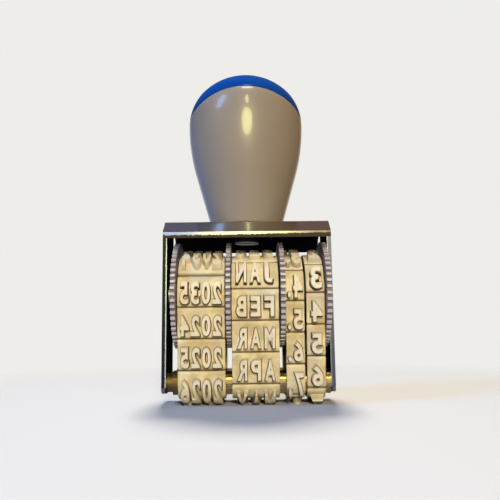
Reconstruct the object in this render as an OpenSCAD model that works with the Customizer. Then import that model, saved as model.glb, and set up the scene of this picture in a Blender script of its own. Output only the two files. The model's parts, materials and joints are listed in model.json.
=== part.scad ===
// Hand date stamp with four endless type bands on thumb wheels.
// Millimetres. X runs along the axle, Y from front to back, Z up from the printing face.

/* [Frame] */
// Thickness of the bent steel sheet
sheet = 0.9; // [0.6:0.1:1.2]
// Height of the roof's top face above the printing face
roof_z = 37.9; // [37.5:0.1:44]
// Front to back depth of the roof's flat
roof_flat_d = 16.6; // [15.5:0.2:20]
// Level reach of each lip, in front of the flat and behind it
lip_reach = 3.1; // [1.5:0.1:4]
// Angle of each lip below level
lip_angle = 42; // [20:1:50]
// Outer radius of the bend from flat to lip
lip_bend_r = 2.4; // [1.6:0.1:3]
// Front to back width of each arm
arm_d = 11; // [9:0.5:14]
// Height of the arms' lower ends
arm_bottom_z = 2.5; // [2.2:0.1:3]
// Radius of the arms' lower corners
arm_corner_r = 1.5; // [0.5:0.1:2.5]
// Outer radius of the bend from roof to arm
arm_bend_r = 1.5; // [1.3:0.1:2.5]

/* [Handle] */
// Radius of the handle's foot, where it stands on the roof
foot_r = 7.9; // [6.5:0.05:8]
// Largest radius of the handle
belly_r = 12.8; // [11.5:0.1:15]
// Height of the largest radius above the roof
belly_h = 23.3; // [20:0.1:28]
// Radius of the long arc below the belly
flank_arc_r = 42; // [38:1:60]
// Radius of the arc from the belly up to the cap's edge arc
shoulder_arc_r = 10.75; // [9:0.05:20]
// Height above the belly at which that arc ends
shoulder_h = 6.5; // [5:0.1:8]
// Height of the seam above the belly, in the middle of the front
seam_h = 5.1; // [3:0.1:6]
// Radius of the arch of the seam, which is lower at the sides
seam_arch_r = 21.5; // [18:0.5:40]
// Height of the round edge at the foot
foot_edge = 0.35; // [0.2:0.05:0.8]
// Radius of the cap's outer edge arc
cap_edge_r = 4.5; // [4:0.1:8.5]
// Radius of the cap's crown
cap_crown_r = 13.8; // [13:0.1:22]
// Radius of the peg under the cap
cap_peg_r = 6; // [4:0.1:8]
// Length of the peg under the cap
cap_peg_l = 5; // [3:0.1:8]

/* [Axle and wheels] */
// Height of the axle above the printing face
axle_z = 23; // [22.6:0.1:23.2]
// Radius of the axle
axle_r = 1.5; // [1:0.1:2]
// Radius of the axle's riveted heads
rivet_r = 2.3; // [2.1:0.1:3.5]
// Height of the riveted heads
rivet_h = 0.5; // [0.3:0.1:1]
// Outer radius of the thumb wheels, over the teeth
wheel_r = 11.45; // [11:0.05:11.7]
// Depth of the thumb wheels' teeth
tooth_h = 0.6; // [0.3:0.05:1]
// Number of teeth on a thumb wheel
teeth = 56; // [40:8:64]
// Thickness of a thumb wheel's disc
disc_t = 0.95; // [0.7:0.05:1.2]
// Depth of the ring pressed into each wheel disc
face_ring = 0.25; // [0.1:0.05:0.3]
// Width of the plain rim outside that ring
face_rim = 1.8; // [1.2:0.1:3]
// Radius of the drum that carries a band
drum_r = 7.55; // [7:0.05:7.6]
// Radius of the drum's spigot, which the disc is pressed on
spigot_r = 4; // [3.2:0.1:5]
// Width of the spacer between the left arm and the first wheel
spacer_w = 1.35; // [1:0.05:2]
// Outer radius of the spacer
spacer_r = 2.6; // [2.2:0.1:4]

/* [Bands] */
// Width of the year and month bands
wide_band_w = 9.75; // [9:0.05:11]
// Width of the two day bands
narrow_band_w = 3.8; // [3.6:0.05:5]
// Thickness of a band's back
band_t = 0.8; // [0.7:0.05:1.1]
// Height of the type above a band's back
type_h = 1.3; // [0.7:0.05:1.5]
// Height of the figures, along the band
type_size = 4; // [3.5:0.1:4.6]
// Number of places on each band
places = 12; // [10:1:13]
// Width of the groove between two places
groove_w = 0.35; // [0.2:0.05:0.6]
// Depth of the groove between two places
groove_h = 0.3; // [0.1:0.05:0.4]
// Places by which each band is turned on: year, month, day units, day tens
band_turn = [0.42, 0.86, 0.25, 0]; // [0:0.01:1]
// Width of one type column: year, month, day units, day tens
column_w = [1.9, 2.5, 2.6, 2]; // [1:0.1:3]

/* [Platen] */
// Radius of the platen's lower edges
platen_edge_r = 2.5; // [1.8:0.1:3]
// Half the distance between the centres of those edges
platen_edge_y = 2.9; // [2.4:0.05:3.2]
// Height of the platen's top face
platen_top_z = 6.1; // [5.6:0.1:6.2]
// Radius of the platen's upper edges
platen_top_r = 0.8; // [0.3:0.1:1.5]
// Front to back width of the tenons through the arms
tenon_d = 5; // [3:0.1:6]
// Height of the tenons through the arms
tenon_h = 1.8; // [1.2:0.1:2]
// Height of the tenons' riveted heads
tenon_head = 0.35; // [0.2:0.05:0.8]
// Step down to the neck at the platen's left end
platen_neck = 0.6; // [0.3:0.05:0.7]

/* [Handle screw] */
// Radius of the screw's shank
screw_r = 1.75; // [1.2:0.05:2.2]
// Length of the shank above the washer
screw_l = 15; // [10:0.5:18]
// Radius of the screw's head
screw_head_r = 2.7; // [2.6:0.05:3.2]
// Height of the screw's head
screw_head_h = 1.9; // [1.4:0.1:2]
// Width of the slot in the screw's head
screw_slot = 0.7; // [0.4:0.1:1]
// Radius of the washer
washer_r = 3.6; // [3.3:0.1:4.5]
// Thickness of the washer
washer_t = 0.7; // [0.4:0.05:0.8]

/* [Fits] */
// Radial gap where a wheel turns on the axle
turn_fit = 0.06; // [0.03:0.01:0.1]
// Gap all round a fixed pin or peg in its hole
seat_fit = 0.03; // [0.02:0.01:0.05]
// Gap between pieces beside each other on the axle
side_play = 0.12; // [0.08:0.01:0.2]
// Gap at each edge of a band on its drum
band_play = 0.15; // [0.1:0.01:0.25]
// Gap between a drum and the band that lies over it
drum_gap = 0.15; // [0.1:0.01:0.2]
// Gap between the platen and the bands that run round it
platen_gap = 0.02; // [0.01:0.01:0.05]

/* [Hidden] */
$fn = 96;
big = 200;
eps = 0.01;
past = 1;
end_room = 0.5;

// Stack along the axle, from the left arm to the right one
drum_wide = wide_band_w + 2 * band_play;
drum_narrow = narrow_band_w + 2 * band_play;
inner_w = spacer_w + 5 * side_play + 4 * disc_t + 2 * drum_wide + 2 * drum_narrow;
arm_in = inner_w / 2;
arm_out = arm_in + sheet;
year_x = -arm_in + spacer_w + side_play;
month_x = year_x + disc_t + drum_wide + side_play;
units_x = month_x + disc_t + drum_wide + side_play;
tens_x = units_x + disc_t + drum_narrow + side_play;

// Path of a band: round the drum, down the front, round the platen and up the back
band_r = drum_r + drum_gap;
edge_r = platen_edge_r + platen_gap;
edge_z = type_h + band_t + edge_r;
drop = axle_z - edge_z;
lean = asin((band_r - edge_r) / norm([platen_edge_y, drop])) - atan2(platen_edge_y, drop);
run_l = sqrt(pow(platen_edge_y, 2) + pow(drop, 2) - pow(band_r - edge_r, 2));
neutral = band_t / 2;
top_l = (band_r + neutral) * (90 + lean) * PI / 180;
edge_l = (edge_r + neutral) * (90 - lean) * PI / 180;
half_l = top_l + run_l + edge_l + platen_edge_y;
pitch = 2 * half_l / places;

// Handle outline
belly_z = roof_z + belly_h;
seam_z = belly_z + seam_h;
shoulder_z = belly_z + shoulder_h;
shoulder_a = asin(shoulder_h / shoulder_arc_r);
shoulder_r = belly_r - shoulder_arc_r * (1 - cos(shoulder_a));
cap_edge_c = [shoulder_r - cap_edge_r * cos(shoulder_a), shoulder_z - cap_edge_r * sin(shoulder_a)];
cap_crown_z = cap_edge_c[1] - sqrt(pow(cap_crown_r - cap_edge_r, 2) - pow(cap_edge_c[0], 2));

// Slope of the line from the foot that touches an arc of radius r below the belly
function flank_angle(r) =
    let (dx = belly_r - r - foot_r, d = norm([dx, belly_h]))
    atan2(belly_h, -dx) - acos(min(1, r / d));

// Heights under the roof
roof_under_z = roof_z - sheet;
washer_z = roof_under_z - washer_t;
screw_z = washer_z - screw_head_h;
lip_end_z = roof_z - lip_reach * tan(lip_angle);

// Middle of the platen's height, and the ball that rounds the axle's heads
tenon_z = (edge_z - edge_r + platen_top_z - tenon_h) / 2 + platen_gap;
dome_r = (pow(rivet_r, 2) + pow(rivet_h, 2)) / (2 * rivet_h);

// Colours of the materials
steel_dark = [0.16, 0.16, 0.19];
steel = [0.72, 0.72, 0.74];
brass = [0.72, 0.55, 0.2];
rubber = [0.9, 0.78, 0.5];
drum_plastic = [0.2, 0.2, 0.21];

// Point of a band at length s from the top of the drum, h above its inner face
function front_point(s, h) =
    s < top_l ? let (a = s / top_l * (90 + lean)) axle_point(90 + a, band_r + h)
    : s < top_l + run_l ? run_point(s - top_l, h)
    : s < top_l + run_l + edge_l
        ? let (a = (s - top_l - run_l) / edge_l * (90 - lean)) edge_point(180 + lean + a, edge_r + h)
    : [-platen_edge_y + (s - top_l - run_l - edge_l), edge_z - edge_r - h];
function axle_point(a, r) = [r * cos(a), axle_z + r * sin(a)];
function edge_point(a, r) = [-platen_edge_y + r * cos(a), edge_z + r * sin(a)];
function run_point(t, h) = axle_point(180 + lean, band_r + h) + t * [sin(lean), -cos(lean)];
function wrap(s) = s - 2 * half_l * floor(s / (2 * half_l));
function band_point(s, h) =
    let (w = wrap(s), p = front_point(min(w, 2 * half_l - w), h))
    w <= half_l ? p : [-p[0], p[1]];

// Strip of a band from length s0 to s1 and from height h0 to h1
function strip(s0, s1, h0, h1, steps = 4) = concat(
    [for (i = [0:steps]) band_point(s0 + (s1 - s0) * i / steps, h0)],
    [for (i = [steps:-1:0]) band_point(s0 + (s1 - s0) * i / steps, h1)]);

// Turns a flat outline in front-to-back and up into a piece from x, w wide
module along_x(x, w) {
    translate([x, 0, 0]) rotate([90, 0, 90]) linear_extrude(w) children();
}

// Round rod or bore on the axle line from x, w wide
module on_axle(x, w, r) {
    translate([x, 0, axle_z]) rotate([0, 90, 0]) cylinder(h = w, r = r);
}

// Ground enclosed by the line h above a band's inner face
module loop_2d(h) {
    translate([0, axle_z]) circle(band_r + h);
    for (side = [-1, 1]) translate([side * platen_edge_y, edge_z]) circle(edge_r + h);
    front = [
        axle_point(180 + lean, band_r + h),
        edge_point(180 + lean, edge_r + h),
        edge_point(270, edge_r + h)
    ];
    polygon(concat(front, [for (i = [2:-1:0]) [-front[i][0], front[i][1]]]));
}

// Back of a band in section, with a groove at each place
module band_back_2d(turn) {
    difference() {
        loop_2d(band_t);
        loop_2d(0);
        for (i = [0:places - 1])
            polygon(strip((i + turn) * pitch - groove_w / 2, (i + turn) * pitch + groove_w / 2,
                          band_t - groove_h, band_t + past, 2));
    }
}

// Rows of type in section, one at each place, rooted in the back
module type_2d(turn) {
    blank = pitch - type_size;
    difference() {
        loop_2d(band_t + type_h);
        loop_2d(band_t / 2);
        for (i = [0:places - 1])
            polygon(strip((i + turn) * pitch - blank / 2, (i + turn) * pitch + blank / 2,
                          band_t / 4, band_t + type_h + past));
    }
}

// Endless band number n from x, with plain type blocks in equal columns
module band(n, x, w, columns) {
    step = w / columns;
    color(rubber) union() {
        along_x(x, w) band_back_2d(band_turn[n]);
        for (i = [0:columns - 1])
            along_x(x + (i + 0.5) * step - column_w[n] / 2, column_w[n]) type_2d(band_turn[n]);
    }
}

// Outline of a toothed rim
module rim_2d() {
    step = 360 / teeth;
    root = wheel_r - tooth_h;
    polygon([for (i = [0:teeth - 1], p = [[0, root], [0.14, wheel_r], [0.5, wheel_r], [0.64, root]])
        p[1] * [cos((i + p[0]) * step), sin((i + p[0]) * step)]]);
}

// Toothed disc from x, with its pressed ring on the right if flip is set
module disc(x, flip = false) {
    ring_x = flip ? x + disc_t - face_ring : x - past;
    color(steel) difference() {
        along_x(x, disc_t) translate([0, axle_z]) rim_2d();
        on_axle(x - past, disc_t + 2 * past, spigot_r + seat_fit);
        difference() {
            on_axle(ring_x, face_ring + past, wheel_r - face_rim);
            on_axle(ring_x - past, face_ring + 3 * past, spigot_r + face_rim / 2);
        }
    }
}

// Drum with its spigot, from x where the wheel starts; flip puts the drum to the left
module drum(x, w, flip = false) {
    color(drum_plastic) difference() {
        union() {
            on_axle(flip ? x : x + disc_t, w, drum_r);
            on_axle(x, w + disc_t, spigot_r);
        }
        on_axle(x - past, w + disc_t + 2 * past, axle_r + turn_fit);
    }
}

// Upright of the frame seen from the front
module frame_u_2d() {
    difference() {
        arch_2d(arm_out, roof_z, arm_bend_r);
        translate([0, -eps]) arch_2d(arm_in, roof_under_z + eps, arm_bend_r - sheet);
    }
}

// Upright ground with round upper corners, from the arms' lower ends up
module arch_2d(half_w, top, r) {
    translate([-half_w, arm_bottom_z]) square([2 * half_w, top - r - arm_bottom_z]);
    translate([-half_w + r, arm_bottom_z]) square([2 * (half_w - r), top - arm_bottom_z]);
    for (side = [-1, 1]) translate([side * (half_w - r), top - r]) circle(r);
}

// Ground under the roof's skin, inset by depth d
module hood_2d(d) {
    r = lip_bend_r - d;
    tangent = lip_bend_r * tan(lip_angle / 2);
    bend_y = roof_flat_d / 2 - tangent;
    bend_z = roof_z - lip_bend_r;
    end_y = roof_flat_d / 2 + lip_reach;
    end_z = lip_end_z - d / cos(lip_angle);
    bend = [[bend_y, bend_z + r], [bend_y + r * sin(lip_angle), bend_z + r * cos(lip_angle)]];
    half = concat(bend, [[end_y, end_z], [end_y, end_z - 2 * sheet]]);
    polygon(concat(half, [for (i = [3:-1:0]) [-half[i][0], half[i][1]]]));
    for (side = [-1, 1]) translate([side * bend_y, bend_z]) circle(r);
}

// Side view of an arm, with round lower corners
module arm_2d() {
    half = arm_d / 2;
    translate([-half, arm_bottom_z + arm_corner_r]) square([arm_d, big]);
    translate([-half + arm_corner_r, arm_bottom_z]) square([arm_d - 2 * arm_corner_r, big]);
    for (side = [-1, 1])
        translate([side * (half - arm_corner_r), arm_bottom_z + arm_corner_r]) circle(arm_corner_r);
}

// Tenon of the platen, or its slot when grown by gap
module tenon_2d(gap = 0) {
    translate([-tenon_d / 2 - gap, tenon_z - gap]) square([tenon_d + 2 * gap, tenon_h + 2 * gap]);
}

module frame() {
    color(steel_dark) difference() {
        union() {
            intersection() {
                rotate([90, 0, 0]) linear_extrude(arm_d, center = true) frame_u_2d();
                along_x(-arm_out, 2 * arm_out) arm_2d();
            }
            along_x(-arm_in, inner_w) difference() {
                hood_2d(0);
                hood_2d(sheet);
                translate([-big / 2, lip_end_z - sheet / cos(lip_angle) - big])
                    square([big, big]);
            }
        }
        on_axle(-big / 2, big, axle_r + seat_fit);
        along_x(-big / 2, big) tenon_2d(seat_fit);
        translate([0, 0, roof_under_z - past])
            cylinder(h = sheet + 2 * past, r = screw_r + seat_fit);
    }
}

// Half outline of the handle from its foot to the end of the shoulder's arc
module handle_2d() {
    flank = flank_angle(flank_arc_r);
    flank_z = belly_z - flank_arc_r * sin(flank);
    flank_r = belly_r - flank_arc_r * (1 - cos(flank));
    slope = (flank_r - foot_r) / (flank_z - roof_z);
    polygon([
        [0, roof_z], [foot_r - foot_edge, roof_z], [foot_r + slope * foot_edge, roof_z + foot_edge],
        [flank_r, flank_z], [0, flank_z]
    ]);
    intersection() {
        translate([belly_r - flank_arc_r, belly_z]) circle(flank_arc_r, $fn = 360);
        translate([0, flank_z - eps]) square([big, belly_z - flank_z + eps]);
    }
    intersection() {
        translate([belly_r - shoulder_arc_r, belly_z]) circle(shoulder_arc_r, $fn = 360);
        translate([0, belly_z - eps]) square([big, shoulder_h + eps]);
    }
}

// Half outline of the top: a crown that runs into a tighter edge arc
module crown_2d() {
    join = atan2(cap_edge_c[1] - cap_crown_z, cap_edge_c[0]);
    join_r = cap_crown_r * cos(join);
    join_z = cap_crown_z + cap_crown_r * sin(join);
    polygon([
        [0, shoulder_z - eps], [shoulder_r, shoulder_z - eps], [shoulder_r, shoulder_z],
        [join_r, join_z], [0, join_z]
    ]);
    intersection() {
        translate(cap_edge_c) circle(cap_edge_r, $fn = 360);
        translate([0, shoulder_z - eps]) square([big, join_z - shoulder_z + 2 * eps]);
    }
    intersection() {
        translate([0, cap_crown_z]) circle(cap_crown_r, $fn = 360);
        translate([0, join_z]) square([join_r, big]);
    }
}

// Handle and cap as one egg
module egg() {
    rotate_extrude() {
        handle_2d();
        crown_2d();
    }
}

// All the room under the arch of the seam
module under_seam() {
    arch_z = seam_z - seam_arch_r;
    rotate([90, 0, 0]) linear_extrude(big, center = true) {
        translate([0, arch_z]) circle(seam_arch_r, $fn = 360);
        translate([-seam_arch_r, -big]) square([2 * seam_arch_r, big + arch_z]);
    }
}

module handle() {
    color([0.53, 0.5, 0.46]) difference() {
        intersection() {
            egg();
            under_seam();
        }
        translate([0, 0, washer_z])
            cylinder(h = screw_l + end_room, r = screw_r + seat_fit);
        translate([0, 0, seam_z - cap_peg_l - end_room])
            cylinder(h = cap_peg_l + end_room + past, r = cap_peg_r + seat_fit);
    }
}

module handle_cap() {
    color([0, 0.28, 0.68]) union() {
        difference() {
            egg();
            under_seam();
        }
        translate([0, 0, seam_z - cap_peg_l]) cylinder(h = cap_peg_l + eps, r = cap_peg_r);
    }
}

module handle_screw() {
    color(steel) difference() {
        union() {
            translate([0, 0, screw_z]) cylinder(h = screw_head_h, r = screw_head_r);
            translate([0, 0, washer_z - eps]) cylinder(h = screw_l, r = screw_r);
        }
        translate([0, 0, screw_z]) cube([big, screw_slot, screw_head_h], center = true);
    }
}

module screw_washer() {
    color(steel) translate([0, 0, washer_z]) difference() {
        cylinder(h = washer_t, r = washer_r);
        translate([0, 0, -past]) cylinder(h = washer_t + 2 * past, r = screw_r + seat_fit);
    }
}

// Half outline of the axle on its own line, with a domed head at each end
module axle_2d() {
    translate([0, -arm_out]) square([axle_r, 2 * arm_out]);
    for (side = [0, 1]) mirror([0, side]) intersection() {
        translate([0, arm_out]) square([rivet_r, rivet_h]);
        translate([0, arm_out + rivet_h - dome_r]) circle(dome_r);
    }
}

module wheel_axle() {
    color(steel) translate([0, 0, axle_z]) rotate([0, 90, 0]) rotate_extrude() axle_2d();
}

module axle_spacer() {
    color(steel) difference() {
        on_axle(-arm_in, spacer_w, spacer_r);
        on_axle(-arm_in - past, spacer_w + 2 * past, axle_r + seat_fit);
    }
}

// Platen in section, d smaller all round
module platen_2d(d = 0) {
    low_r = platen_edge_r - d;
    top_y = platen_edge_y + platen_edge_r - d;
    top_z = platen_top_z - d;
    for (side = [-1, 1]) {
        translate([side * platen_edge_y, edge_z]) circle(low_r);
        translate([side * (top_y - platen_top_r), top_z - platen_top_r]) circle(platen_top_r);
    }
    translate([-platen_edge_y, edge_z - low_r]) square([2 * platen_edge_y, low_r]);
    translate([-top_y, edge_z]) square([2 * top_y, max(eps, top_z - platen_top_r - edge_z)]);
    translate([-top_y + platen_top_r, edge_z]) square([2 * (top_y - platen_top_r), top_z - edge_z]);
}

module platen_bar() {
    color(brass) union() {
        along_x(-arm_in + spacer_w, inner_w - spacer_w) platen_2d();
        along_x(-arm_in, spacer_w + eps) platen_2d(platen_neck);
        along_x(-arm_out - tenon_head, 2 * (arm_out + tenon_head)) tenon_2d();
        for (side = [0, 1]) mirror([side, 0, 0])
            along_x(arm_out, tenon_head) tenon_2d(tenon_head);
    }
}

module year_disc() { disc(year_x); }
module month_disc() { disc(month_x); }
module day_units_disc() { disc(units_x); }
module day_tens_disc() { disc(tens_x + drum_narrow, true); }

module year_drum() { drum(year_x, drum_wide); }
module month_drum() { drum(month_x, drum_wide); }
module day_units_drum() { drum(units_x, drum_narrow); }
module day_tens_drum() { drum(tens_x, drum_narrow, true); }

module year_band() { band(0, year_x + disc_t + band_play, wide_band_w, 4); }
module month_band() { band(1, month_x + disc_t + band_play, wide_band_w, 3); }
module day_units_band() { band(2, units_x + disc_t + band_play, narrow_band_w, 1); }
module day_tens_band() { band(3, tens_x + band_play, narrow_band_w, 1); }

frame();
handle();
handle_cap();
handle_screw();
screw_washer();
wheel_axle();
axle_spacer();
platen_bar();
year_disc();
month_disc();
day_units_disc();
day_tens_disc();
year_drum();
month_drum();
day_units_drum();
day_tens_drum();
year_band();
month_band();
day_units_band();
day_tens_band();
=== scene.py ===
# %% [markdown]
# A hand date stamp: an egg-shaped handle on a bent steel frame, with four endless rubber bands that
# carry mirrored figures. Its construction is already modelled, so this lesson loads that model as a
# fixed frame, gives every piece its finish, and models the pieces that need more than plain solids:
# the handle, its cap and the four bands of type.

# %% Load the construction
import json
import math
import bpy
from mathutils import Euler, Matrix, Vector

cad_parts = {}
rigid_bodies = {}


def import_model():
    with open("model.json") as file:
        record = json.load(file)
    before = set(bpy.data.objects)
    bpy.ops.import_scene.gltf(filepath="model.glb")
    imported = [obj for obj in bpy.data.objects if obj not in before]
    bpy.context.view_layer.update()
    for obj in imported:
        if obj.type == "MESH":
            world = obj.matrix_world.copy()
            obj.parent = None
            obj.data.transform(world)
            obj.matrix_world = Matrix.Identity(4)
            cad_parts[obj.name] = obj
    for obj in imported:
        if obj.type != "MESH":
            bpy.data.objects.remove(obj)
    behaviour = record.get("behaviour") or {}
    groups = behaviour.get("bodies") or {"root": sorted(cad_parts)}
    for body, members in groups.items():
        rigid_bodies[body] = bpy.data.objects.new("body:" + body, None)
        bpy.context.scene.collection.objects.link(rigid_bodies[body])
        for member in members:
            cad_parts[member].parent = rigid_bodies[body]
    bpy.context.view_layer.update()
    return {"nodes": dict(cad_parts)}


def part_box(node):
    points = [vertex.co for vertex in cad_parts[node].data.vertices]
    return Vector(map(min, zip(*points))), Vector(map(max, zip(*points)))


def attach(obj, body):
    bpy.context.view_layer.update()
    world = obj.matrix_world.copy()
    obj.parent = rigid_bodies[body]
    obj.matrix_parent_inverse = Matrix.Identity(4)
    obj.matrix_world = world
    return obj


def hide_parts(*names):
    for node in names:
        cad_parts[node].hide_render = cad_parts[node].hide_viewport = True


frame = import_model()

# %% [markdown]
# The camera stands close in front of the stamp, a little above the platen, and looks up at the handle.
# Its place and lens were worked out from the straight edges of the frame and the round ones of the
# wheels, so that the stamp fills the picture as it does in the photograph.

# %% Camera
MM = 0.001
PICTURE = 500
FOCAL_PIXELS = 555.65
SENSOR = 36.0
CLIP_START = 5
CAMERA_PLACE = Vector((-0.3, -122.25, 14.93))
PITCH_UP = math.radians(8.39)
YAW_RIGHT = math.radians(0.45)
ROLL = math.radians(0.71)
camera_data = bpy.data.cameras.new("camera")
camera_data.sensor_width = SENSOR
camera_data.lens = FOCAL_PIXELS / PICTURE * SENSOR
camera_data.clip_start = CLIP_START * MM
camera = bpy.data.objects.new("camera", camera_data)
bpy.context.scene.collection.objects.link(camera)
aimed = Euler((math.pi / 2 + PITCH_UP, 0, -YAW_RIGHT)).to_matrix() @ Matrix.Rotation(-ROLL, 3, "Z")
camera.matrix_world = Matrix.Translation(CAMERA_PLACE * MM) @ aimed.to_4x4()
bpy.context.scene.camera = camera
print("lens", round(camera_data.lens, 2), "mm")

# %% [markdown]
# Modelling by hand means the same few moves again and again: start from one point, extrude it along an
# outline, spin the outline into a round body. These helpers do them with Blender's own operators. An
# operator works on all that is selected, so each helper starts by deselecting everything.

# %% Helpers for modelling
SPIN_WELD = 0.002


def deselect_all():
    """Leaves nothing selected."""
    for item in bpy.context.view_layer.objects:
        item.select_set(False)


def start_point(name, place):
    """A new mesh object at the origin that holds one vertex, left in edit mode."""
    deselect_all()
    bpy.ops.mesh.primitive_plane_add(size=1, location=(0, 0, 0))
    piece = bpy.context.active_object
    piece.name = name
    piece.data.name = name
    bpy.ops.object.mode_set(mode="EDIT")
    bpy.ops.mesh.select_all(action="SELECT")
    bpy.ops.mesh.merge(type="CENTER")
    bpy.ops.transform.translate(value=place)
    return piece


def lathe(name, outline, steps):
    """Extrudes a point along an outline of (radius, height) in millimetres, and spins it about Z."""
    points = [Vector((r, 0, z)) * MM for r, z in outline]
    piece = start_point(name, points[0])
    for before, after in zip(points, points[1:]):
        bpy.ops.mesh.extrude_region_move(TRANSFORM_OT_translate={"value": after - before})
    bpy.ops.mesh.select_all(action="SELECT")
    bpy.ops.mesh.spin(steps=steps, angle=2 * math.pi, center=(0, 0, 0), axis=(0, 0, 1))
    bpy.ops.mesh.select_all(action="SELECT")
    bpy.ops.mesh.remove_doubles(threshold=SPIN_WELD * MM)
    bpy.ops.mesh.normals_make_consistent(inside=False)
    bpy.ops.object.mode_set(mode="OBJECT")
    return piece


def arc(centre, radius, start, end, count):
    """Points on an arc in the (radius, height) plane, with its angles in degrees."""
    points = []
    for i in range(count + 1):
        angle = math.radians(start + (end - start) * i / count)
        points.append((centre[0] + radius * math.cos(angle), centre[1] + radius * math.sin(angle)))
    return points


# %% [markdown]
# Finishes are node trees. Written as plain Python they read like the recipe they are: a wire carries a
# value, the arithmetic signs add Math nodes, and one method adds any other node with its settings and
# its sockets.

# %% Helpers for finishes
class Wire:
    """A value that runs from one shader node to the next."""

    def __init__(self, finish, socket):
        self.finish = finish
        self.socket = socket

    def math(self, operation, first, second):
        """The result of a Math node."""
        return self.finish.add("ShaderNodeMath", {"operation": operation}, {0: first, 1: second})

    def __add__(self, other):
        return self.math("ADD", self, other)

    def __radd__(self, other):
        return self.math("ADD", other, self)

    def __sub__(self, other):
        return self.math("SUBTRACT", self, other)

    def __rsub__(self, other):
        return self.math("SUBTRACT", other, self)

    def __mul__(self, other):
        return self.math("MULTIPLY", self, other)

    def __rmul__(self, other):
        return self.math("MULTIPLY", other, self)


class Finish:
    """A material with one Principled shader, built up node by node."""

    def __init__(self, name, **constants):
        self.material = bpy.data.materials.new(name)
        self.material.use_nodes = True
        self.tree = self.material.node_tree
        self.shader = self.tree.nodes["Principled BSDF"]
        for socket, value in constants.items():
            self.shader.inputs[socket.replace("_", " ")].default_value = value
        self.place = self.add("ShaderNodeTexCoord", out="Object")

    def add(self, kind, settings=None, sockets=None, out=0):
        """Adds a node and returns a wire from one of its outputs."""
        node = self.tree.nodes.new(kind)
        for key, value in (settings or {}).items():
            setattr(node, key, value)
        for key, value in (sockets or {}).items():
            self.feed(node.inputs[key], value)
        return Wire(self, node.outputs[out])

    def feed(self, socket, value):
        """Links a wire to a socket, or writes a plain value into it."""
        if isinstance(value, Wire):
            self.tree.links.new(value.socket, socket)
        else:
            socket.default_value = value

    def set(self, **wires):
        """Feeds the shader's own sockets, named with underscores for spaces."""
        for socket, value in wires.items():
            self.feed(self.shader.inputs[socket.replace("_", " ")], value)

    def axis(self, name):
        """X, Y or Z of the object's own place, in metres."""
        return self.add("ShaderNodeSeparateXYZ", sockets={0: self.place}, out=name)

    def step(self, value, low, high, start=0.0, end=1.0):
        """Runs smoothly from start to end as the value goes from low to high."""
        return self.add("ShaderNodeMapRange", {"interpolation_type": "SMOOTHSTEP"},
                        {0: value, 1: low, 2: high, 3: start, 4: end})

    def noise(self, size, detail, stretch=(1, 1, 1)):
        """Cloudy noise whose lumps are about size millimetres across, stretched along the axes."""
        scaled = self.add("ShaderNodeMapping", sockets={0: self.place, 3: [1 / s for s in stretch]})
        return self.add("ShaderNodeTexNoise", sockets={
            "Vector": scaled, "Scale": 1 / (size * MM), "Detail": detail})

    def mix(self, share, first, second):
        """Colour that goes from first to second as share goes from 0 to 1."""
        return self.add("ShaderNodeMix", {"data_type": "RGBA"}, {0: share, 6: first, 7: second}, out=2)

    def bump(self, height, depth):
        """Surface relief of depth millimetres."""
        return self.add("ShaderNodeBump", sockets={"Height": height, "Distance": depth * MM})


def colour(red, green, blue):
    """Scene colour from the 0 to 255 values of a picture."""
    shares = [value / 255 for value in (red, green, blue)]
    linear = [c / 12.92 if c < 0.0404 else ((c + 0.055) / 1.055) ** 2.4 for c in shares]
    return (*linear, 1.0)


def paint(piece, finish):
    """Gives a piece one finish all over."""
    piece.data.materials.clear()
    piece.data.materials.append(finish.material)


# %% [markdown]
# The frame is one strip of steel, satin outside and polished on its roof, which mirrors the handle; its
# inside is painted near-black and matt as painted shade. The blank was sheared, which leaves its cut edges
# different from its faces: a burnished stripe above and a dull brown torn zone below. Along the front of
# the roof that stripe carries a painted highlight and painted reflections, bluish white on the left, warm
# white in the middle and dull brown on the right, so it is the brightest line on the stamp. The cut front
# edges of the arms are painted dark navy as a painted reflection, with a thin painted glint along their
# inner side. All these are found by their place: the roof's skin by its height over the slope of the lips,
# and the cut edges because they lie at the very front and back.

# %% Frame steel
ROOF_TOP = 37.9
ROOF_FLAT = 8.3
LIP_FRONT = 11.4
LIP_SLOPE = math.tan(math.radians(42))
ARM_IN = 17.03
ARM_FRONT = 5.5
ARM_TOP = ROOF_TOP - 1.0
SKIN_FROM = ROOF_TOP - 0.5
SKIN_FULL = ROOF_TOP - 0.35
TORN_LEFT = 0.62
TORN_RIGHT = 0.38
RAGGED = 0.7
frame_steel = Finish("frame_steel", Specular_IOR_Level=0.0)
depth = frame_steel.add("ShaderNodeMath", {"operation": "ABSOLUTE"}, {0: frame_steel.axis("Y")})
across = frame_steel.axis("X")
level = frame_steel.axis("Z")
past_flat = frame_steel.add("ShaderNodeMath", {"operation": "MAXIMUM"},
                            {0: depth - ROOF_FLAT * MM, 1: 0.0})
over_skin = level + past_flat * LIP_SLOPE
skin = frame_steel.step(over_skin, SKIN_FROM * MM, SKIN_FULL * MM)
cloud = frame_steel.noise(5.0, detail=4.0)
scuff = frame_steel.noise(0.9, detail=4.0, stretch=(6, 1, 1))
ragged = frame_steel.noise(0.45, detail=4.0, stretch=(1, 4, 1))
inner_side = frame_steel.add("ShaderNodeMath", {"operation": "ABSOLUTE"}, {0: across})
# Painted shade: the inside faces of the frame are painted near-black and matt.
inside = frame_steel.step(inner_side, (ARM_IN + 0.05) * MM, (ARM_IN + 0.1) * MM, 1.0, 0.0)
satin = frame_steel.mix(cloud, colour(118, 119, 126), colour(138, 138, 144))
polished = frame_steel.mix(cloud, colour(186, 184, 184), colour(198, 195, 193))
faces = frame_steel.mix(skin, frame_steel.mix(inside, satin, colour(34, 34, 37)), polished)

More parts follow.
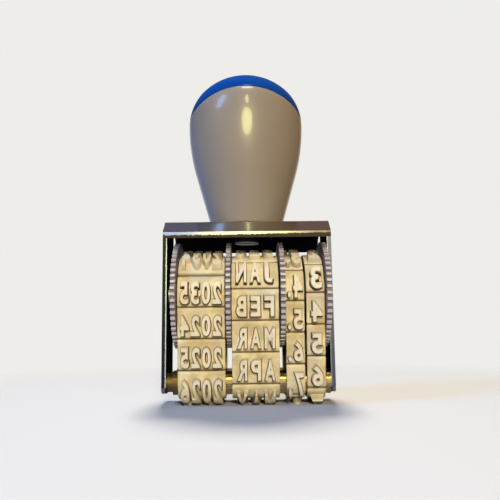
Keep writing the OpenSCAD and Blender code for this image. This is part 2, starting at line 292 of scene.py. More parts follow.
lip_edge = frame_steel.step(depth, (LIP_FRONT - 0.04) * MM, (LIP_FRONT - 0.01) * MM)
edge_top = (ROOF_TOP - (LIP_FRONT - ROOF_FLAT) * LIP_SLOPE) * MM
torn_from = frame_steel.step(across, -6 * MM, 16 * MM, TORN_LEFT * MM, TORN_RIGHT * MM)
torn_depth = edge_top - level + (ragged - 0.5) * (RAGGED * MM) - torn_from
torn = frame_steel.step(torn_depth, -0.08 * MM, 0.08 * MM)
# Painted highlight and painted reflections on the roof's cut front edge: bluish white on the left, warm
# white in the middle, dull brown on the right.
blue_to_warm_reflection = frame_steel.step(across, -14 * MM, -4 * MM)
brown_reflection_share = frame_steel.step(across, 2 * MM, 15 * MM)
burnished_and_highlight = frame_steel.mix(blue_to_warm_reflection, colour(150, 162, 196), colour(234, 222, 184))
burnished_and_highlight = frame_steel.mix(brown_reflection_share, burnished_and_highlight, colour(140, 128, 98))
cut_colour = frame_steel.mix(torn, burnished_and_highlight, colour(72, 60, 46))
with_lip = frame_steel.mix(lip_edge, faces, cut_colour)

arm_edge = frame_steel.step(depth, (ARM_FRONT - 0.05) * MM, (ARM_FRONT - 0.02) * MM)
arm_edge = arm_edge * frame_steel.step(depth, (ARM_FRONT + 0.05) * MM, (ARM_FRONT + 0.1) * MM, 1.0, 0.0)
arm_edge = arm_edge * frame_steel.step(level, (ARM_TOP - 0.3) * MM, ARM_TOP * MM, 1.0, 0.0)
# Painted reflection: the cut front edges of the arms are painted dark navy, lighter on the right.
right_arm = frame_steel.step(across, -1 * MM, 1 * MM)
arm_dark_reflection = frame_steel.mix(right_arm, colour(38, 40, 52), colour(84, 84, 110))
with_arms = frame_steel.mix(arm_edge, with_lip, arm_dark_reflection)
# Painted glint: a thin bright stripe along the inner side of the arms' front edges, stronger on the left.
ragged_side = inner_side + (ragged - 0.5) * (0.3 * MM)
burr_glint = arm_edge * frame_steel.step(ragged_side, (ARM_IN + 0.24) * MM, (ARM_IN + 0.12) * MM)
burr_glint = burr_glint * frame_steel.step(across, -1 * MM, 1 * MM, 0.85, 0.25)
bare = skin + lip_edge + arm_edge + (1.0 - inside)
frame_steel.set(
    Base_Color=frame_steel.mix(burr_glint, with_arms, colour(214, 222, 226)),
    Metallic=frame_steel.step(bare, 0.0, 1.0) - 0.65 * lip_edge,
    Roughness=(0.14 - 0.09 * skin + 0.08 * scuff
               + 0.28 * lip_edge + 0.14 * arm_edge + 0.2 * lip_edge * torn),
    Normal=frame_steel.bump(scuff * 0.4 + ragged * lip_edge * 3.0 + ragged * arm_edge * 2.0, 0.006))
paint(frame["nodes"]["frame"], frame_steel)
print("frame finished")

# %% [markdown]
# The thumb wheels are plated steel discs. Their finish is pale on the tips of the teeth and darkens from
# the tip circle inwards. The distance from the axle tells tip from gap.

# %% Wheel steel
AXLE_Z = 23.0
WHEEL_R = 11.45
TOOTH = 0.6
TIP = 0.15
WHEELS = ("year", "month", "day_units", "day_tens")


def axle_distance(finish):
    """How far a point lies from the axle's line, in metres."""
    from_axle = finish.add("ShaderNodeMapping", sockets={
        0: finish.place, 1: (0, 0, -AXLE_Z * MM), 3: (0, 1, 1)})
    return finish.add("ShaderNodeVectorMath", {"operation": "LENGTH"}, {0: from_axle}, out="Value")


wheel_steel = Finish("wheel_steel", Metallic=0.2)
from_axle = axle_distance(wheel_steel)
# Paler tooth tips; the disc darkens from the tip circle inwards.
pale_tip_share = wheel_steel.step(from_axle, (WHEEL_R - TOOTH) * MM, (WHEEL_R - TIP) * MM)
stain = wheel_steel.noise(2.2, detail=5.0)
fine = wheel_steel.noise(0.25, detail=3.0)
disc_colour = wheel_steel.mix(stain, colour(111, 103, 106), colour(130, 120, 121))
wheel_steel.set(
    Base_Color=wheel_steel.mix(pale_tip_share, disc_colour, colour(200, 186, 178)),
    Roughness=0.42 + 0.2 * stain,
    Normal=wheel_steel.bump(fine, 0.01))
for name in WHEELS:
    paint(frame["nodes"][name + "_disc"], wheel_steel)
print("wheels finished")

# %% [markdown]
# The platen is a drawn brass bar, so its fine lines run along X. Its left neck, where no band runs, is
# darker and rougher. The axle and its spacer are bright steel, the screw and its washer are painted dark
# as painted shade under the roof, and the drums are black plastic that hardly shows.

# %% Brass, pins and drums
NECK_FROM = -13.4
NECK_FADE = 0.4
brass = Finish("platen_brass", Metallic=1.0)
drawn = brass.noise(0.18, detail=3.0, stretch=(14, 1, 1))
tarnish = brass.noise(2.5, detail=4.0)
neck = brass.step(brass.axis("X"), NECK_FROM * MM, (NECK_FROM - NECK_FADE) * MM)
bright = brass.mix(tarnish, colour(216, 190, 134), colour(178, 148, 94))
brass.set(
    Base_Color=brass.mix(neck, bright, colour(128, 104, 66)),
    Roughness=0.2 + 0.16 * drawn + 0.22 * neck,
    Normal=brass.bump(drawn, 0.008))
paint(frame["nodes"]["platen_bar"], brass)

pin_steel = Finish("axle_steel", Metallic=1.0)
turned = pin_steel.noise(0.15, detail=3.0, stretch=(1, 8, 8))
pin_steel.set(
    Base_Color=pin_steel.mix(turned, colour(196, 196, 198), colour(168, 166, 164)),
    Roughness=0.22 + 0.14 * turned,
    Normal=pin_steel.bump(turned, 0.004))
for name in ("wheel_axle", "axle_spacer"):
    paint(frame["nodes"][name], pin_steel)

# Painted shade: the screw and its washer, which sit under the roof, are painted dark.
shaded_dark_steel = Finish("screw_steel", Metallic=0.6)
grain = shaded_dark_steel.noise(0.7, detail=6.0)
shaded_dark_steel.set(
    Base_Color=shaded_dark_steel.mix(grain, colour(52, 49, 46), colour(34, 32, 30)),
    Roughness=0.34 + 0.25 * grain,
    Normal=shaded_dark_steel.bump(grain, 0.02))
for name in ("handle_screw", "screw_washer"):
    paint(frame["nodes"][name], shaded_dark_steel)

drum_plastic = Finish("drum_plastic")
moulded = drum_plastic.noise(0.4, detail=4.0)
drum_plastic.set(
    Base_Color=drum_plastic.mix(moulded, colour(34, 34, 35), colour(48, 46, 45)),
    Roughness=0.5 + 0.2 * moulded,
    Normal=drum_plastic.bump(moulded, 0.01))
for name in WHEELS:
    paint(frame["nodes"][name + "_drum"], drum_plastic)
print("platen, pins and drums finished")

# %% [markdown]
# The handle is moulded plastic, turned smooth and very glossy. Any facet would break its long highlight,
# so it is spun afresh from the same outline in fine steps: a straight flank from the foot, a long arc to
# the belly, a tighter one over the shoulder, and the crown. A spin suits it because the real mould was
# turned on a lathe.
#
# Only the seam between handle and cap is not round: it is an arch, highest in the middle of the front and
# the back. Both bodies are therefore spun with a level edge first. Then each of their points is carried
# down along the egg's own curve, the more the nearer it lies to the seam, until the edge lies on the arch.

# %% Handle and cap
BELLY_R = 12.8
BELLY_Z = ROOF_TOP + 23.3
FLANK_ARC = 42.0
SHOULDER_ARC = 10.75
SHOULDER_H = 6.5
FOOT_R = 7.9
FOOT_EDGE = 0.35
RIM_ARC = 4.5
CROWN_ARC = 13.8
SEAM_H = 5.1
SEAM_ARCH = 21.5
SEAM_EDGE = 0.16
SEAM_GAP = 0.04
STILL_BELOW = 6.0
SPIN_STEPS = 160
ARCH_TURNS = 10
AT_CENTRE = 0.01
SMOOTH_BELOW = math.radians(50)

reach = BELLY_R - FLANK_ARC - FOOT_R
flank_angle = math.degrees(math.atan2(BELLY_Z - ROOF_TOP, -reach)
                           - math.acos(FLANK_ARC / math.hypot(reach, BELLY_Z - ROOF_TOP)))
shoulder_centre = (BELLY_R - SHOULDER_ARC, BELLY_Z)
shoulder_angle = math.degrees(math.asin(SHOULDER_H / SHOULDER_ARC))
inward = SHOULDER_ARC - RIM_ARC
rim_centre = (shoulder_centre[0] + inward * math.cos(math.radians(shoulder_angle)),
              BELLY_Z + inward * math.sin(math.radians(shoulder_angle)))
crown_z = rim_centre[1] - math.sqrt((CROWN_ARC - RIM_ARC) ** 2 - rim_centre[0] ** 2)
rim_angle = math.degrees(math.atan2(rim_centre[1] - crown_z, rim_centre[0]))
rim_z = crown_z + CROWN_ARC * math.sin(math.radians(rim_angle))
seam_z = BELLY_Z + SEAM_H


def egg_radius(z):
    """Radius of the egg at a height above its straight flank."""
    if z < BELLY_Z:
        return BELLY_R - FLANK_ARC + math.sqrt(FLANK_ARC ** 2 - (BELLY_Z - z) ** 2)
    if z < BELLY_Z + SHOULDER_H:
        return shoulder_centre[0] + math.sqrt(SHOULDER_ARC ** 2 - (z - BELLY_Z) ** 2)
    if z < rim_z:
        return rim_centre[0] + math.sqrt(RIM_ARC ** 2 - (z - rim_centre[1]) ** 2)
    return math.sqrt(max(0.0, CROWN_ARC ** 2 - (z - crown_z) ** 2))


def edge_round(height):
    """Centre and outer angle of a small round edge that touches the shoulder from inside."""
    across = math.sqrt((SHOULDER_ARC - SEAM_EDGE) ** 2 - height ** 2)
    return (shoulder_centre[0] + across, BELLY_Z + height), math.degrees(math.atan2(height, across))


def carry_to_arch(piece, still_z):
    """Slides points along the egg so that the level edge at the seam comes to lie on the arch."""
    for vertex in piece.data.vertices:
        x, y, z = vertex.co / MM
        r = math.hypot(x, y)
        share = min(1.0, max(0.0, (z - still_z) / (seam_z - still_z)))
        if r < AT_CENTRE or share == 0.0:
            continue
        off_egg = r - egg_radius(z)
        new_r = r
        for _ in range(ARCH_TURNS):
            drop = SEAM_ARCH - math.sqrt(SEAM_ARCH ** 2 - (new_r * x / r) ** 2)
            new_z = z - share * drop
            new_r = egg_radius(new_z) + off_egg
        vertex.co = Vector((new_r * x / r, new_r * y / r, new_z)) * MM
    piece.data.update()


foot = arc((FOOT_R - FOOT_EDGE, ROOF_TOP + FOOT_EDGE), FOOT_EDGE, -90, -flank_angle, 6)
flank = arc((BELLY_R - FLANK_ARC, BELLY_Z), FLANK_ARC, -flank_angle, 0, 48)
lip_centre, lip_angle = edge_round(SEAM_H - SEAM_GAP - SEAM_EDGE)
shoulder = arc(shoulder_centre, SHOULDER_ARC, 0, lip_angle, 20)
seam_lip = arc(lip_centre, SEAM_EDGE, lip_angle, 90, 5)
outline = [(0, ROOF_TOP)] + foot + flank + shoulder[1:] + seam_lip[1:] + [(0, seam_z - SEAM_GAP)]
handle = lathe("grey_handle", outline, SPIN_STEPS)
carry_to_arch(handle, BELLY_Z - STILL_BELOW)
bpy.ops.object.shade_smooth_by_angle(angle=SMOOTH_BELOW)
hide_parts("handle")
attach(handle, "stamp")

foot_centre, foot_angle = edge_round(SEAM_H + SEAM_EDGE)
cap_foot = arc(foot_centre, SEAM_EDGE, -90, foot_angle, 6)
cap_side = arc(shoulder_centre, SHOULDER_ARC, foot_angle, shoulder_angle, 6)
rim = arc(rim_centre, RIM_ARC, shoulder_angle, rim_angle, 12)
crown = arc((0, crown_z), CROWN_ARC, rim_angle, 90, 24)
cap = lathe("blue_cap", [(0, seam_z)] + cap_foot + cap_side[1:] + rim[1:] + crown[1:], SPIN_STEPS)
carry_to_arch(cap, crown_z + CROWN_ARC)
bpy.ops.object.shade_smooth_by_angle(angle=SMOOTH_BELOW)
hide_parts("handle_cap")
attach(cap, "stamp")
print("handle", len(handle.data.polygons), "faces, cap", len(cap.data.polygons))

# %% [markdown]
# Both plastics are dyed right through and polished by the mould. What keeps them from looking like
# computer plastic is small: a slow drift of the colour, and a faint haze of rubbing that spreads the
# reflections a little more in some places than in others.

# %% Plastic finishes
grey_plastic = Finish("handle_plastic", IOR=1.48, Coat_Weight=0.5, Coat_Roughness=0.05)
drift = grey_plastic.noise(9.0, detail=2.0)
rubbing = grey_plastic.noise(4.0, detail=1.5, stretch=(1, 1, 2))
grey_plastic.set(
    Base_Color=grey_plastic.mix(drift, colour(138, 124, 102), colour(146, 131, 108)),
    Roughness=0.26 + 0.1 * rubbing)
paint(handle, grey_plastic)

blue_plastic = Finish("cap_plastic", Specular_IOR_Level=0.0, Coat_Weight=0.25, Coat_Roughness=0.12)
drift = blue_plastic.noise(7.0, detail=2.0)
rubbing = blue_plastic.noise(3.0, detail=1.5)
blue_plastic.set(
    Base_Color=blue_plastic.mix(drift, colour(0, 54, 117), colour(0, 60, 127)),
    Roughness=0.14 + 0.12 * rubbing)
paint(cap, blue_plastic)
print("plastics finished")

# %% [markdown]
# A type band is a rubber strip, moulded flat with its figures and joined into a loop. The lesson makes it
# the same way: the strip is modelled flat, with X across it, its length along Y and its height along Z, and
# then every point is carried onto the loop that runs over the drum, down the front, round the platen and
# up the back.

# %% Path of a band
DRUM_R = 7.7
EDGE_R = 2.52
EDGE_Y = 2.9
BAND_T = 0.8
TYPE_H = 1.3
PLACES = 12
EDGE_Z = TYPE_H + BAND_T + EDGE_R
drop = AXLE_Z - EDGE_Z
lean = math.asin((DRUM_R - EDGE_R) / math.hypot(EDGE_Y, drop)) - math.atan2(EDGE_Y, drop)
NEUTRAL = BAND_T / 2
drum_l = (DRUM_R + NEUTRAL) * (math.pi / 2 + lean)
run_l = math.sqrt(EDGE_Y ** 2 + drop ** 2 - (DRUM_R - EDGE_R) ** 2)
edge_l = (EDGE_R + NEUTRAL) * (math.pi / 2 - lean)
half_l = drum_l + run_l + edge_l + EDGE_Y
place_l = 2 * half_l / PLACES


def front_point(s, h):
    """Y and Z of the front half of the loop, s along it from the top and h above its inner face."""
    if s < drum_l:
        angle = math.pi / 2 + s / drum_l * (math.pi / 2 + lean)
        return (DRUM_R + h) * math.cos(angle), AXLE_Z + (DRUM_R + h) * math.sin(angle)
    if s < drum_l + run_l:
        angle = math.pi + lean
        t = s - drum_l
        return ((DRUM_R + h) * math.cos(angle) + t * math.sin(lean),
                AXLE_Z + (DRUM_R + h) * math.sin(angle) - t * math.cos(lean))
    if s < drum_l + run_l + edge_l:
        angle = math.pi + lean + (s - drum_l - run_l) / edge_l * (math.pi / 2 - lean)
        return -EDGE_Y + (EDGE_R + h) * math.cos(angle), EDGE_Z + (EDGE_R + h) * math.sin(angle)
    return -EDGE_Y + s - drum_l - run_l - edge_l, EDGE_Z - EDGE_R - h


def loop_point(s, h):
    """The same for the whole loop: the back half mirrors the front."""
    s = s % (2 * half_l)
    y, z = front_point(min(s, 2 * half_l - s), h)
    return (y, z) if s <= half_l else (-y, z)


print("one place on a band is", round(place_l, 2), "mm long")

# %% [markdown]
# The figures are tapered, so that they leave the mould and don't bend under pressure. A text object with a
# plain bevel gives just that: the letter's own outline on top, and a wider one below. Each figure is made
# once, lying flat like the strip, scaled to the type's real height, and cut across in thin slices so that
# it can bend with the band. Its root goes a little way into the strip.

# %% One figure of type
TYPE_SIZE = 4.68
LETTER_SIZE = 5.2
CURVE_STEPS = 5
BOLDER = 0.14
FLARE = 0.34
ROOT = 0.25
SLICES = 9
TYPE_WELD = 0.004
figures = {}


def make_figure(letter, widest):
    """A tapered solid for one letter, centred on its row, with its foot at Z 0, in millimetres."""
    deselect_all()
    bpy.ops.object.text_add(location=(0, 0, 0))
    text = bpy.context.active_object
    text.data.body = letter
    text.data.size = LETTER_SIZE
    text.data.resolution_u = CURVE_STEPS
    text.data.offset = BOLDER
    text.data.bevel_depth = FLARE
    text.data.bevel_resolution = 0
    bpy.ops.object.convert(target="MESH")
    piece = bpy.context.active_object
    piece.name = "figure"
    corners = [Vector(c) for c in piece.bound_box]
    low = Vector(min(c[i] for c in corners) for i in range(3))
    high = Vector(max(c[i] for c in corners) for i in range(3))
    tall = high.y - low.y
    is_dot = tall < TYPE_SIZE / 2
    stretch = 1.0 if is_dot else TYPE_SIZE / tall
    squeeze = min(1.0, widest / (high.x - low.x))
    middle = low.y + TYPE_SIZE / 2 if is_dot else (low.y + high.y) / 2
    bpy.ops.object.mode_set(mode="EDIT")
    bpy.ops.mesh.select_all(action="SELECT")
    bpy.ops.mesh.remove_doubles(threshold=TYPE_WELD)
    bpy.ops.transform.translate(value=(-(low.x + high.x) / 2, -middle, 0))
    bpy.ops.transform.resize(value=(squeeze, stretch, TYPE_H / FLARE), center_override=(0, 0, 0))
    for i in range(1, SLICES):
        bpy.ops.mesh.select_all(action="SELECT")
        level = TYPE_SIZE * (i / SLICES - 0.5)
        bpy.ops.mesh.bisect(plane_co=(0, level, 0), plane_no=(0, 1, 0))
    bpy.ops.object.mode_set(mode="OBJECT")
    for vertex in piece.data.vertices:
        if vertex.co.z < 0:
            vertex.co.z *= ROOT / TYPE_H
    return piece


def figure_copy(letter, widest, place):
    """A mirrored copy of a letter, with its own mesh, at a place on the flat strip."""
    key = (letter, widest)
    if key not in figures:
        figures[key] = make_figure(letter, widest)
    copy = figures[key].copy()
    copy.data = figures[key].data.copy()
    bpy.context.scene.collection.objects.link(copy)
    copy.location = place
    copy.scale = (-1, -1, 1)
    return copy


# %% [markdown]
# The strip itself starts as a fine grid. Its cross rows are grouped by place, so a groove is made by
# picking one row of points in every place and pressing it down, with its neighbours following a little.
# The sheet is then extruded down to the band's inner face, and its two ends are left open, because they
# meet when the strip becomes a loop.

# %% The flat strip
ROWS_PER_PLACE = 32
COLUMNS = 7
GROOVE = 0.3
GROOVE_SIDE = 0.4 * GROOVE
LEDGE = 0.05
LEDGE_ROWS = (3, 4, 5)
EDGE_ROUND = 0.12
NEAR = 0.01
END_FACING = 0.99


def pick(piece, test):
    """Selects the points that pass a test on their place, and returns to edit mode."""
    bpy.ops.object.mode_set(mode="EDIT")
    bpy.ops.mesh.select_mode(type="VERT")
    bpy.ops.mesh.select_all(action="DESELECT")
    bpy.ops.object.mode_set(mode="OBJECT")
    for vertex in piece.data.vertices:
        vertex.select = test(vertex.co)
    bpy.ops.object.mode_set(mode="EDIT")


def flat_strip(name, low_x, high_x, turn):
    """A grooved strip in millimetres: X across, Y along it from its first groove, Z from its inner face."""
    deselect_all()
    bpy.ops.mesh.primitive_grid_add(x_subdivisions=COLUMNS, y_subdivisions=PLACES * ROWS_PER_PLACE,
                                    size=1, location=(0, 0, 0))
    strip = bpy.context.active_object
    strip.name = name
    strip.data.name = name
    start = turn * place_l
    bpy.ops.object.mode_set(mode="EDIT")
    bpy.ops.mesh.select_all(action="SELECT")
    bpy.ops.transform.resize(value=(high_x - low_x, 2 * half_l, 1), center_override=(0, 0, 0))
    bpy.ops.transform.translate(value=((low_x + high_x) / 2, start + half_l, BAND_T))

    def row(co):
        """Number of a point's cross row within its place."""
        return round((co.y - start) / place_l * ROWS_PER_PLACE) % ROWS_PER_PLACE

    beside_groove = (1, ROWS_PER_PLACE - 1)
    for rows, lift in ((0,), -GROOVE), (beside_groove, -GROOVE_SIDE), (LEDGE_ROWS, LEDGE):
        pick(strip, lambda co: row(co) in rows)
        bpy.ops.transform.translate(value=(0, 0, lift))
    pick(strip, lambda co: co.x < low_x + NEAR or co.x > high_x - NEAR)
    bpy.ops.transform.translate(value=(0, 0, -EDGE_ROUND))
    column = (high_x - low_x) / COLUMNS
    for side, inner in ((-1, low_x + column), (1, high_x - column)):
        pick(strip, lambda co: abs(co.x - inner) < NEAR)
        bpy.ops.transform.translate(value=(side * (column - EDGE_ROUND), 0, 0))
    bpy.ops.mesh.select_all(action="SELECT")
    bpy.ops.mesh.extrude_region_move(TRANSFORM_OT_translate={"value": (0, 0, -BAND_T / 2)})
    bpy.ops.transform.resize(value=(1, 1, 0), center_override=(0, 0, 0))
    bpy.ops.object.mode_set(mode="OBJECT")
    for face in strip.data.polygons:
        from_middle = abs(face.center.y - start - half_l)
        face.select = abs(face.normal.y) > END_FACING and from_middle > half_l - NEAR
    bpy.ops.object.mode_set(mode="EDIT")
    bpy.ops.mesh.select_mode(type="FACE")
    bpy.ops.mesh.delete(type="ONLY_FACE")
    bpy.ops.object.mode_set(mode="OBJECT")
    return strip


# %% [markdown]
# Now each strip gets its rows of figures and is wrapped. Before it is bent, every point stores how high it
# stands on the band, and every face how far it looks down the band. The rubber's finish reads both later,
# to give the worn tops their paleness and painted sheen, and the flanks and grooves their ink and painted
# shade.

# %% The four bands
JOINT_FROM = 0.86
DOT_W = 1.12
BAND_SMOOTH = math.radians(32)


def between(knots, values, place):
    """The value at a place on a line of straight pieces through the given knots."""
    last = len(knots) - 2
    i = max(k for k in range(last + 1) if k == 0 or knots[k] <= place)
    share = (place - knots[i]) / (knots[i + 1] - knots[i])
    return values[i] + share * (values[i + 1] - values[i])


def wrap(strip, turn, joint):
    """Bends a flat strip with its figures into a closed loop in metres; joint is a bare length on it."""
    mesh = strip.data
    start = turn * place_l
    knots = (start, start + JOINT_FROM * place_l, start + place_l, half_l, start + 2 * half_l)
    moves = (-joint, -joint, 0.0, 0.0, -joint)
    below = mesh.attributes.new("below", "FLOAT", "FACE")
    for face, item in zip(mesh.polygons, below.data):
        item.value = 0.5 + 0.5 * face.normal.y
    raised = mesh.attributes.new("raised", "FLOAT", "POINT")
    for vertex, item in zip(mesh.vertices, raised.data):
        item.value = (vertex.co.z - BAND_T) / TYPE_H
        y, z = loop_point(vertex.co.y + between(knots, moves, vertex.co.y), vertex.co.z)
        vertex.co = Vector((vertex.co.x, y, z)) * MM
    bpy.ops.object.mode_set(mode="EDIT")
    bpy.ops.mesh.select_all(action="SELECT")
    bpy.ops.mesh.remove_doubles(threshold=TYPE_WELD * MM)
    bpy.ops.mesh.normals_make_consistent(inside=False)
    bpy.ops.object.mode_set(mode="OBJECT")
    bpy.ops.object.shade_smooth_by_angle(angle=BAND_SMOOTH)


def make_band(node, rows, turn, low_by, joint, columns, widest):
    """A band of type for its plain solid; low_by sets the rows below the middle of their places."""
    low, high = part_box(node)
    middle = (low.x + high.x) / 2 / MM
    strip = flat_strip(node.replace("_band", "_type_band"), low.x / MM, high.x / MM, turn)
    letters = []
    for i, row in enumerate(rows):
        along = (i + turn + 0.5) * place_l + low_by
        for letter, column in zip(row, columns):
            width = DOT_W if letter == "." else widest
            letters.append(figure_copy(letter, width, (middle - column, along, BAND_T)))
    deselect_all()
    for letter in letters:
        letter.select_set(True)
    strip.select_set(True)
    bpy.context.view_layer.objects.active = strip
    bpy.ops.object.join()
    wrap(strip, turn, joint)
    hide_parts(node)
    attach(strip, "stamp")
    print(strip.name, len(strip.data.polygons), "faces")
    return strip


FIRST_YEAR = 2024
YEARS_PAST = 10
YEARS = [str(FIRST_YEAR + (i + YEARS_PAST) % PLACES) for i in range(PLACES)]
MONTHS = ["JAN", "FEB", "MAR", "APR", "MAY", "JUN", "JUL", "AUG", "SEP", "OCT", "NOV", "DEC"]
UNITS = ["3.", "4.", "5.", "6.", "7.", "8.", "9.", "0.", "", "", "1.", "2."]
TENS = ["2", "3", "4", "5", "6", "7", "8", "9", "0", "", "", "1"]
bands = [
    make_band("year_band", YEARS, turn=0.42, low_by=0.5, joint=1.6,
              columns=(-3.3, -1.1, 1.1, 3.3), widest=2.16),
    make_band("month_band", MONTHS, turn=0.86, low_by=0.3, joint=0.0,
              columns=(-2.85, 0, 2.85), widest=2.5),
    make_band("day_units_band", UNITS, turn=0.25, low_by=0.5, joint=0.0,
              columns=(-0.5, 1.22), widest=2.3),
    make_band("day_tens_band", TENS, turn=0.0, low_by=0.6, joint=0.0,
              columns=(-0.1,), widest=2.8),
]
for spare in figures.values():
    bpy.data.objects.remove(spare)

# %% [markdown]
# Natural rubber is a warm cream that browns where ink settles. The tops of the figures have been pressed
# on paper and are paler, which also stands in for a painted sheen. The flanks go brown towards their foot,
# with ink and painted shade, darkest where they face down the band, which is painted shade of light from
# above. The grooves are darkened with ink and painted shade too. On the uppermost rows, where the roof's
# lip casts shade, pale dust and painted light lift the pads and lighten the flanks. The stored height and
# direction give all of that, and a fine grain keeps the surface from looking like plastic.

# %% Rubber
DUST_AND_LIGHT_FROM = 26.6
DUST_AND_LIGHT_FULL = 28.4
TENS_FROM = 11.6
rubber = Finish("band_rubber", IOR=1.5)
raised = rubber.add("ShaderNodeAttribute", {"attribute_name": "raised"}, out="Fac")
below = rubber.add("ShaderNodeAttribute", {"attribute_name": "below"}, out="Fac")
cloud = rubber.noise(3.0, detail=4.0)
grain = rubber.noise(0.22, detail=4.0)
dust = rubber.noise(7.0, detail=3.0)
# Paler tops: wear from paper, and a painted sheen.
worn_and_sheen = rubber.step(raised, 0.8, 0.99)
# Flanks darkened with ink and painted shade; those facing down the band darkest, as painted shade of light
# from above.
flank = rubber.step(raised, 0.06, 0.14) * rubber.step(raised, 0.5, 0.97, 1.0, 0.0)
flank = flank * rubber.step(below, 0.2, 0.6, 0.3, 1.0)
# Painted light and dust: the top rows, which the roof's lip shades, are made paler and their flanks
# lighter.
dust_and_painted_light = rubber.step(rubber.axis("Z"), DUST_AND_LIGHT_FROM * MM, DUST_AND_LIGHT_FULL * MM)
flank = flank * (1.0 - 0.8 * dust_and_painted_light)
# Grooves darkened with ink and painted shade.
groove = rubber.step(raised, -0.2, -0.05, 1.0, 0.0)
pad = rubber.mix(rubber.step(cloud, 0.3, 0.7), colour(194, 171, 118), colour(232, 213, 161))
greyer = rubber.step(rubber.axis("X"), (TENS_FROM - 0.2) * MM, (TENS_FROM + 0.2) * MM, 0.5, 0.9)
pad = rubber.mix(rubber.step(dust, 0.4, 0.7) * greyer, pad, colour(206, 190, 158))
pad = rubber.mix(dust_and_painted_light * 0.4, pad, colour(238, 224, 190))
# Mixes in the dark brown of ink and painted shade on the flanks.
ink_and_shade = rubber.mix(flank * 0.97, pad, colour(52, 37, 23))
topped = rubber.mix(worn_and_sheen * 0.65, ink_and_shade, colour(236, 219, 184))
rubber.set(
    Base_Color=rubber.mix(groove * 0.85, topped, colour(66, 48, 30)),
    Roughness=0.42 + 0.25 * grain,
    Normal=rubber.bump(grain, 0.015))
for band in bands:
    paint(band, rubber)
print("rubber finished")

# %% [markdown]
# The stamp stands on a pale table that runs into a pale background. Near the stamp the table takes light
# and shadow like any matt board. Further out it glows in the background's own colour, so that no edge
# shows.

# %% Table
TABLE_R = 170
TABLE_STEPS = 128
FADE_FROM = 50
FADE_FULL = 160
PALE = colour(238, 237, 233)
BLACK = (0.0, 0.0, 0.0, 1.0)
deselect_all()
bpy.ops.mesh.primitive_circle_add(vertices=TABLE_STEPS, radius=TABLE_R * MM, fill_type="NGON",
                                  location=(0, 0, 0))
table = bpy.context.active_object
table.name = "table"
table_finish = Finish("table", Roughness=0.9, Specular_IOR_Level=0.0, Emission_Strength=1.0)
distance = table_finish.add("ShaderNodeVectorMath", {"operation": "LENGTH"},
                            {0: table_finish.place}, out="Value")
far_off = table_finish.step(distance, FADE_FROM * MM, FADE_FULL * MM)
rays = table_finish.add("ShaderNodeLightPath", out="Is Camera Ray")
mirrored = table_finish.add("ShaderNodeLightPath", out="Is Glossy Ray")
through = table_finish.add("ShaderNodeLightPath", out="Is Transmission Ray")
seen = rays + mirrored + through
board = table_finish.mix(far_off, colour(188, 185, 178), BLACK)
table_finish.set(
    Base_Color=table_finish.mix(seen, colour(84, 84, 86), board),
    Emission_Color=table_finish.mix(far_off * seen, BLACK, PALE))
paint(table, table_finish)
print("table laid")

# %% [markdown]
# Polished steel looks like what it mirrors, so the room matters as much as the lamps. The camera sees a
# plain pale background, and so do reflections from behind the stamp. All other reflections see a dim
# room: cool on the left, warm on the right, and paler low in front. Its light on matt faces is cut down,
# because the lamps do that work.

# %% Room
MATT_SHARE = 0.3
world = bpy.data.worlds.new("studio")
bpy.context.scene.world = world
world.use_nodes = True
tree = world.node_tree
background = tree.nodes["Background"]


def world_node(kind, settings, sockets):
    """Adds a node to the world, with its settings, and with links or values in its sockets."""
    node = tree.nodes.new(kind)
    for key, value in settings.items():
        setattr(node, key, value)
    for key, value in sockets.items():
        if isinstance(value, bpy.types.NodeSocket):
            tree.links.new(value, node.inputs[key])
        else:
            node.inputs[key].default_value = value
    return node


def world_step(value, low, high):
    """Runs smoothly from 0 to 1 as the value goes from low to high."""
    return world_node("ShaderNodeMapRange", {"interpolation_type": "SMOOTHSTEP"},
                      {0: value, 1: low, 2: high, 3: 0.0, 4: 1.0}).outputs[0]


def world_mix(share, first, second):
    """Colour that goes from first to second as share goes from 0 to 1."""
    return world_node("ShaderNodeMix", {"data_type": "RGBA"}, {0: share, 6: first, 7: second}).outputs[2]


direction = world_node("ShaderNodeTexCoord", {}, {}).outputs["Generated"]
parts = world_node("ShaderNodeSeparateXYZ", {}, {0: direction}).outputs
behind = world_step(parts["Y"], 0.75, 0.95)
rise = world_step(parts["Z"], 0.0, 0.45)
side = world_step(parts["X"], -0.35, 0.35)
front = world_step(parts["Y"], -0.45, -0.9)
walls = world_mix(side, colour(108, 118, 150), colour(138, 106, 70))
low_sides = world_mix(side, (0.24, 0.4, 0.85, 1.0), colour(150, 112, 70))
low_walls = world_mix(front, low_sides, colour(210, 204, 194))
room = world_mix(rise, low_walls, walls)
path = world_node("ShaderNodeLightPath", {}, {}).outputs
mirrors = world_node("ShaderNodeMath", {"operation": "ADD"},
                     {0: path["Is Glossy Ray"], 1: path["Is Transmission Ray"]}).outputs[0]
backdrop = world_node("ShaderNodeMath", {"operation": "MULTIPLY_ADD"},
                      {0: mirrors, 1: behind, 2: path["Is Camera Ray"]}).outputs[0]
strength = world_node("ShaderNodeMath", {"operation": "MULTIPLY_ADD"},
                      {0: path["Is Diffuse Ray"], 1: MATT_SHARE - 1.0, 2: 1.0}).outputs[0]
tree.links.new(world_mix(backdrop, room, PALE), background.inputs["Color"])
tree.links.new(strength, background.inputs["Strength"])
print("room ready")

# %% [markdown]
# A gloss and a matt face ask different things of a lamp, so each lamp here does one job. The first four
# are only mirrored: a yellow one that draws the long highlight down the handle, a narrow one for the
# streak on the lip, one above for the glint along the seam, and a blue window on the left. The other four
# only light matt faces: a warm key lamp and its fill in front, blue sky from the left, and a lamp overhead
# that gives the soft shadow.

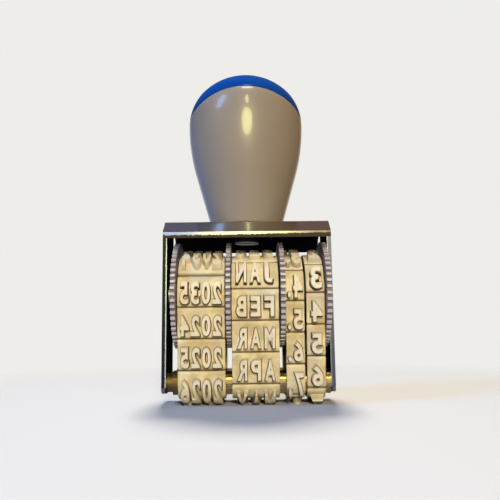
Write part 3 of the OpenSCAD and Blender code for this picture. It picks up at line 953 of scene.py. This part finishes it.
# %% Lamps
def lamp(name, shape, place, aim, size, watts, tint, mirrored=True, spread=True):
    """A soft lamp, placed in millimetres; a mirrored one shows in gloss, a spread one lights matt faces."""
    data = bpy.data.lights.new(name, "AREA")
    data.shape = shape
    data.size = size[0] * MM
    data.size_y = size[1] * MM
    data.energy = watts
    data.color = tint
    item = bpy.data.objects.new(name, data)
    place = Vector(place)
    item.location = place * MM
    item.rotation_euler = (place - Vector(aim)).to_track_quat("Z", "Y").to_euler()
    item.visible_glossy = mirrored
    item.visible_diffuse = spread
    item.visible_camera = False
    bpy.context.scene.collection.objects.link(item)


lamp("front_lamp", "ELLIPSE", place=(22, -480, 165), aim=(0, 0, 45), size=(170, 160),
     watts=0.95, tint=(1.0, 0.98, 0.4), spread=False)
lamp("streak_lamp", "ELLIPSE", place=(22, -370, 380), aim=(0, 0, 60), size=(45, 200),
     watts=0.3, tint=(1.0, 0.95, 0.5), spread=False)
lamp("upper_lamp", "ELLIPSE", place=(20, -120, 534), aim=(0, 0, 60), size=(130, 60),
     watts=0.32, tint=(1.0, 0.92, 0.7), spread=False)
lamp("window", "RECTANGLE", place=(-420, -300, 470), aim=(0, 0, 40), size=(130, 320),
     watts=1.0, tint=(0.3, 0.5, 1.0), spread=False)
lamp("key_lamp", "ELLIPSE", place=(40, -440, 185), aim=(0, 0, 30), size=(80, 85),
     watts=2.0, tint=(1.0, 0.95, 0.86), mirrored=False)
lamp("fill_lamp", "ELLIPSE", place=(40, -455, 75), aim=(0, 0, 30), size=(160, 100),
     watts=0.2, tint=(1.0, 0.98, 0.96), mirrored=False)
lamp("sky_lamp", "ELLIPSE", place=(-380, -220, 380), aim=(0, 0, 60), size=(150, 150),
     watts=2.0, tint=(0.1, 0.34, 1.0), mirrored=False)
lamp("over_lamp", "ELLIPSE", place=(0, 130, 470), aim=(0, -10, 10), size=(110, 110),
     watts=3.0, tint=(1.0, 0.97, 0.91), mirrored=False)
bpy.context.scene.view_settings.view_transform = "Standard"
print("studio lit")
